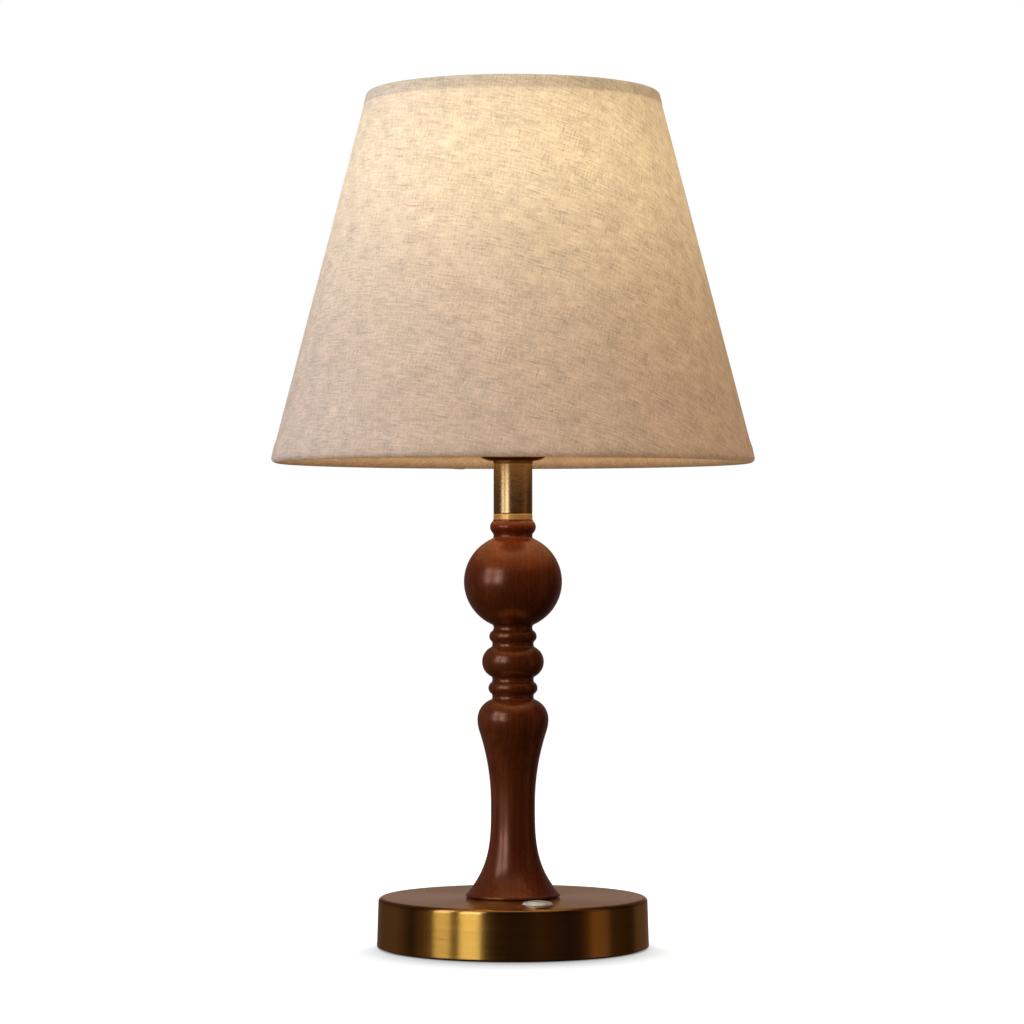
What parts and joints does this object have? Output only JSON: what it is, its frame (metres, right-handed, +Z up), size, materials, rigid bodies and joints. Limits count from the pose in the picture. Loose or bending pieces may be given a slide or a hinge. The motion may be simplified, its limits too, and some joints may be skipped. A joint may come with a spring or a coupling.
{
  "type": "table lamp",
  "caption": "Table lamp with a round metal base, a turned wooden stem, a short metal neck, a conical fabric shade and a push-button switch.",
  "frame": {"origin": "centre of the felt pad's underside, on the lamp's axis", "axes": "+Z up along the lamp's axis; -Y towards the front, where the push button is; +Y towards the cord outlet"},
  "size_m": [0.2482, 0.2482, 0.4401],
  "materials": {
    "brushed_brass": "antique brass, brushed and lacquered, with dark tones",
    "stained_wood": "red-brown stained hardwood, satin varnish",
    "linen": "natural linen with slubs, matte",
    "white_liner": "translucent lining sheet",
    "polished_chrome": "polished",
    "zinc_steel": "zinc plated",
    "cast_iron": "rough casting",
    "black_felt": "felt",
    "black_rubber": "matte",
    "black_plastic": "satin",
    "white_plastic": "satin",
    "porcelain": "glazed",
    "frosted_globe": "frosted, lit from inside",
    "led_board": "white board with light diodes",
    "brown_lead": "insulated wire",
    "blue_lead": "insulated wire"
  },
  "bodies": {
    "lamp": {"felt_pad": "black_felt", "bottom_plate": "zinc_steel", "plate_screw_1": "zinc_steel", "plate_screw_2": "zinc_steel", "plate_screw_3": "zinc_steel", "base_shell": "brushed_brass", "base_weight": "cast_iron", "pipe_washer": "zinc_steel", "pipe_nut": "zinc_steel", "threaded_pipe": "zinc_steel", "cord_grommet": "black_rubber", "switch_bezel": "polished_chrome", "switch_nut": "zinc_steel", "switch_housing": "black_plastic", "switch_spring": "zinc_steel", "switch_tab_feed": "brushed_brass", "switch_tab_out": "brushed_brass", "lead_from_switch": "brown_lead", "lead_from_joint": "blue_lead", "crimp_joint": "white_plastic", "wooden_stem": "stained_wood", "neck_ferrule": "brushed_brass", "neck_tube": "brushed_brass", "holder_cap": "brushed_brass", "holder_skirt": "black_plastic", "holder_insert": "porcelain", "screw_shell": "brushed_brass", "contact_tongue": "brushed_brass", "shade_ring_nut": "black_plastic", "shade_lower_wire": "zinc_steel", "shade_carrier": "zinc_steel", "shade_arm_1": "zinc_steel", "shade_arm_2": "zinc_steel", "shade_arm_3": "zinc_steel", "shade_top_wire": "zinc_steel", "shade_liner": "white_liner", "shade_cover": "linen", "bulb_contact": "zinc_steel", "bulb_insulator": "black_plastic", "bulb_cap": "zinc_steel", "bulb_body": "white_plastic", "bulb_light_board": "led_board", "bulb_globe": "frosted_globe"},
    "button": {"switch_button": "polished_chrome"}
  },
  "joints": [
    {"name": "button_press", "type": "slide", "parent": "lamp", "child": "button", "axis": [0, 0, -1], "range_m": [0, 0.0012], "stiffness_N_per_m": 1500, "deforming": ["switch_spring"]}
  ]
}
